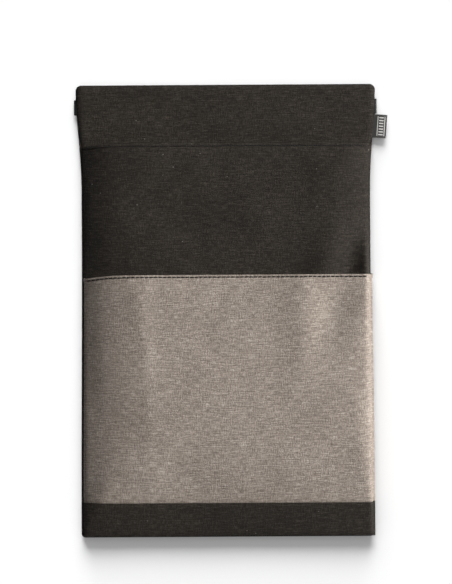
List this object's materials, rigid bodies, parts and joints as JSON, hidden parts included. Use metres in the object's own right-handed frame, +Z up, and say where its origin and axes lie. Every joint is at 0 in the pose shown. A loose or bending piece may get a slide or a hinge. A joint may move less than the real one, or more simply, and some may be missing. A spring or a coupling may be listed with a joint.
{
  "type": "tablet case",
  "caption": "Padded fabric sleeve for a tablet, with a fold-over flap, an elastic closure and a contrasting front pocket.",
  "frame": {"origin": "middle of the flat face of the back that the sleeve rests on, on its centre line, halfway along its overall length with the flap open", "axes": "+Y from the bottom seam towards the flap's free edge, +Z up through the front, +X to the right"},
  "size_m": [0.2449, 0.353, 0.023],
  "materials": {
    "charcoal_fabric": "matte melange canvas",
    "taupe_fabric": "matte melange canvas",
    "lining": "smooth woven lining",
    "foam": "open-cell foam",
    "binding_tape": "woven tape",
    "thread": "twisted polyester thread",
    "elastic": "ribbed elastic webbing",
    "label_ribbon": "woven satin ribbon"
  },
  "bodies": {
    "case_body": {"back_panel": "charcoal_fabric", "back_padding": "foam", "back_lining": "lining", "front_panel": "charcoal_fabric", "front_padding": "foam", "front_lining": "lining", "mouth_facing": "charcoal_fabric", "left_seam_binding": "binding_tape", "right_seam_binding": "binding_tape", "bottom_seam_binding": "binding_tape", "pocket_panel": "taupe_fabric", "pocket_hem": "taupe_fabric", "bottom_band": "charcoal_fabric", "mouth_topstitch": "thread", "pocket_topstitch": "thread"},
    "flap": {"flap_panel": "charcoal_fabric", "flap_padding": "foam", "flap_facing": "charcoal_fabric", "flap_seam_binding": "binding_tape", "elastic_left_end": "elastic", "elastic_right_end": "elastic", "label_tail_end": "label_ribbon"},
    "elastic": {"elastic_band": "elastic"},
    "label": {"side_label": "label_ribbon"}
  },
  "joints": [
    {"name": "flap_fold", "type": "hinge", "parent": "case_body", "child": "flap", "pos_m": [0, 0.131, 0.0111], "axis": [1, 0, 0], "range_deg": [0, 179]},
    {"name": "elastic_pull", "type": "slide", "parent": "flap", "child": "elastic", "axis": [0, 1, 0], "range_m": [0, 0.022], "stiffness_N_per_m": 100},
    {"name": "label_bend", "type": "hinge", "parent": "flap", "child": "label", "pos_m": [0.11612, 0.14385, 0.003], "axis": [0.075, 0.9972, 0], "range_deg": [-80, 12], "stiffness_Nm_per_rad": 0.0005}
  ]
}
